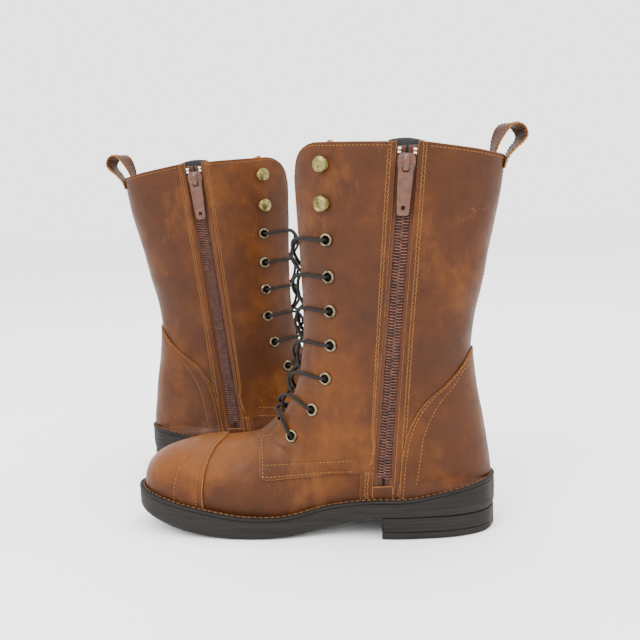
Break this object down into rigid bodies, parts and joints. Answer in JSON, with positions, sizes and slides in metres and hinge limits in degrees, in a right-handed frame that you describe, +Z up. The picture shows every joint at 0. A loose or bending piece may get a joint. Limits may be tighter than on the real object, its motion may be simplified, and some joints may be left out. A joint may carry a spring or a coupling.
{
  "type": "pair of lace-up boots",
  "caption": "Pair of tan leather mid-calf lace-up boots with an inner side zip, stitched toe cap and heel counter, metal eyelets and hooks, a pull tab and a dark heeled rubber sole.",
  "frame": {"origin": "middle of the pair's footprint, on the ground", "axes": "+Z up; the right boot stands at -Y with its toe towards -X, the left boot at +Y with its toe towards +X; both show their inner, zipped side to -Y"},
  "size_m": [0.3298, 0.2784, 0.2831],
  "materials": {
    "upper_leather": "waxed pull-up leather, tan",
    "lining": "dark grey textile",
    "sole_rubber": "dark rubber with fine striations",
    "welt": "dark stitched welt",
    "insole_board": "fibre board",
    "footbed": "padded textile",
    "zip_tape": "woven brown tape",
    "zip_coil": "reddish-brown coil",
    "zip_metal": "painted tan",
    "brass": "antique brass",
    "lace": "waxed round cord"
  },
  "bodies": {
    "right_boot": {"right_eyelet_row_lateral": "brass", "right_eyelet_row_medial": "brass", "right_footbed": "footbed", "right_heel_block": "sole_rubber", "right_heel_counter": "upper_leather", "right_heel_top_piece": "sole_rubber", "right_hook_lower_lateral": "brass", "right_hook_lower_medial": "brass", "right_hook_upper_lateral": "brass", "right_hook_upper_medial": "brass", "right_insole_board": "insole_board", "right_lace": "lace", "right_lateral_quarter": "upper_leather", "right_medial_front_lining": "lining", "right_medial_front_quarter": "upper_leather", "right_medial_rear_quarter": "upper_leather", "right_outsole": "sole_rubber", "right_pull_tab": "upper_leather", "right_shaft_lining": "lining", "right_toe_cap": "upper_leather", "right_tongue": "upper_leather", "right_vamp": "upper_leather", "right_welt": "welt", "right_zip_coil_front": "zip_coil", "right_zip_coil_rear": "zip_coil", "right_zip_guard": "lining", "right_zip_tape_front": "zip_tape", "right_zip_tape_rear": "zip_tape"},
    "right_zip_slider": {"right_zip_slider": "zip_metal"},
    "right_zip_pull": {"right_zip_pull": "zip_metal"},
    "left_boot": {"left_eyelet_row_lateral": "brass", "left_eyelet_row_medial": "brass", "left_footbed": "footbed", "left_heel_block": "sole_rubber", "left_heel_counter": "upper_leather", "left_heel_top_piece": "sole_rubber", "left_hook_lower_lateral": "brass", "left_hook_lower_medial": "brass", "left_hook_upper_lateral": "brass", "left_hook_upper_medial": "brass", "left_insole_board": "insole_board", "left_lace": "lace", "left_lateral_quarter": "upper_leather", "left_medial_front_lining": "lining", "left_medial_front_quarter": "upper_leather", "left_medial_rear_quarter": "upper_leather", "left_outsole": "sole_rubber", "left_pull_tab": "upper_leather", "left_shaft_lining": "lining", "left_toe_cap": "upper_leather", "left_tongue": "upper_leather", "left_vamp": "upper_leather", "left_welt": "welt", "left_zip_coil_front": "zip_coil", "left_zip_coil_rear": "zip_coil", "left_zip_guard": "lining", "left_zip_tape_front": "zip_tape", "left_zip_tape_rear": "zip_tape"},
    "left_zip_slider": {"left_zip_slider": "zip_metal"},
    "left_zip_pull": {"left_zip_pull": "zip_metal"}
  },
  "joints": [
    {"name": "left_boot_lift", "type": "slide", "parent": "right_boot", "child": "left_boot", "axis": [0, 0, 1], "range_m": [0, 0.12]},
    {"name": "right_zip_slide", "type": "slide", "parent": "right_boot", "child": "right_zip_slider", "axis": [-0.0985, 0.033, -0.9946], "range_m": [0, 0.185]},
    {"name": "right_zip_pull_swing", "type": "hinge", "parent": "right_zip_slider", "child": "right_zip_pull", "pos_m": [0.07842, -0.13633, 0.25513], "axis": [-0.9858, 0.1333, 0.1021], "range_deg": [0, 115]},
    {"name": "left_zip_slide", "type": "slide", "parent": "left_boot", "child": "left_zip_slider", "axis": [0.1013, 0.0231, -0.9946], "range_m": [0, 0.185]},
    {"name": "left_zip_pull_swing", "type": "hinge", "parent": "left_zip_slider", "child": "left_zip_pull", "pos_m": [-0.08274, 0.04615, 0.25513], "axis": [-0.9942, -0.0347, -0.1021], "range_deg": [0, 115]}
  ]
}
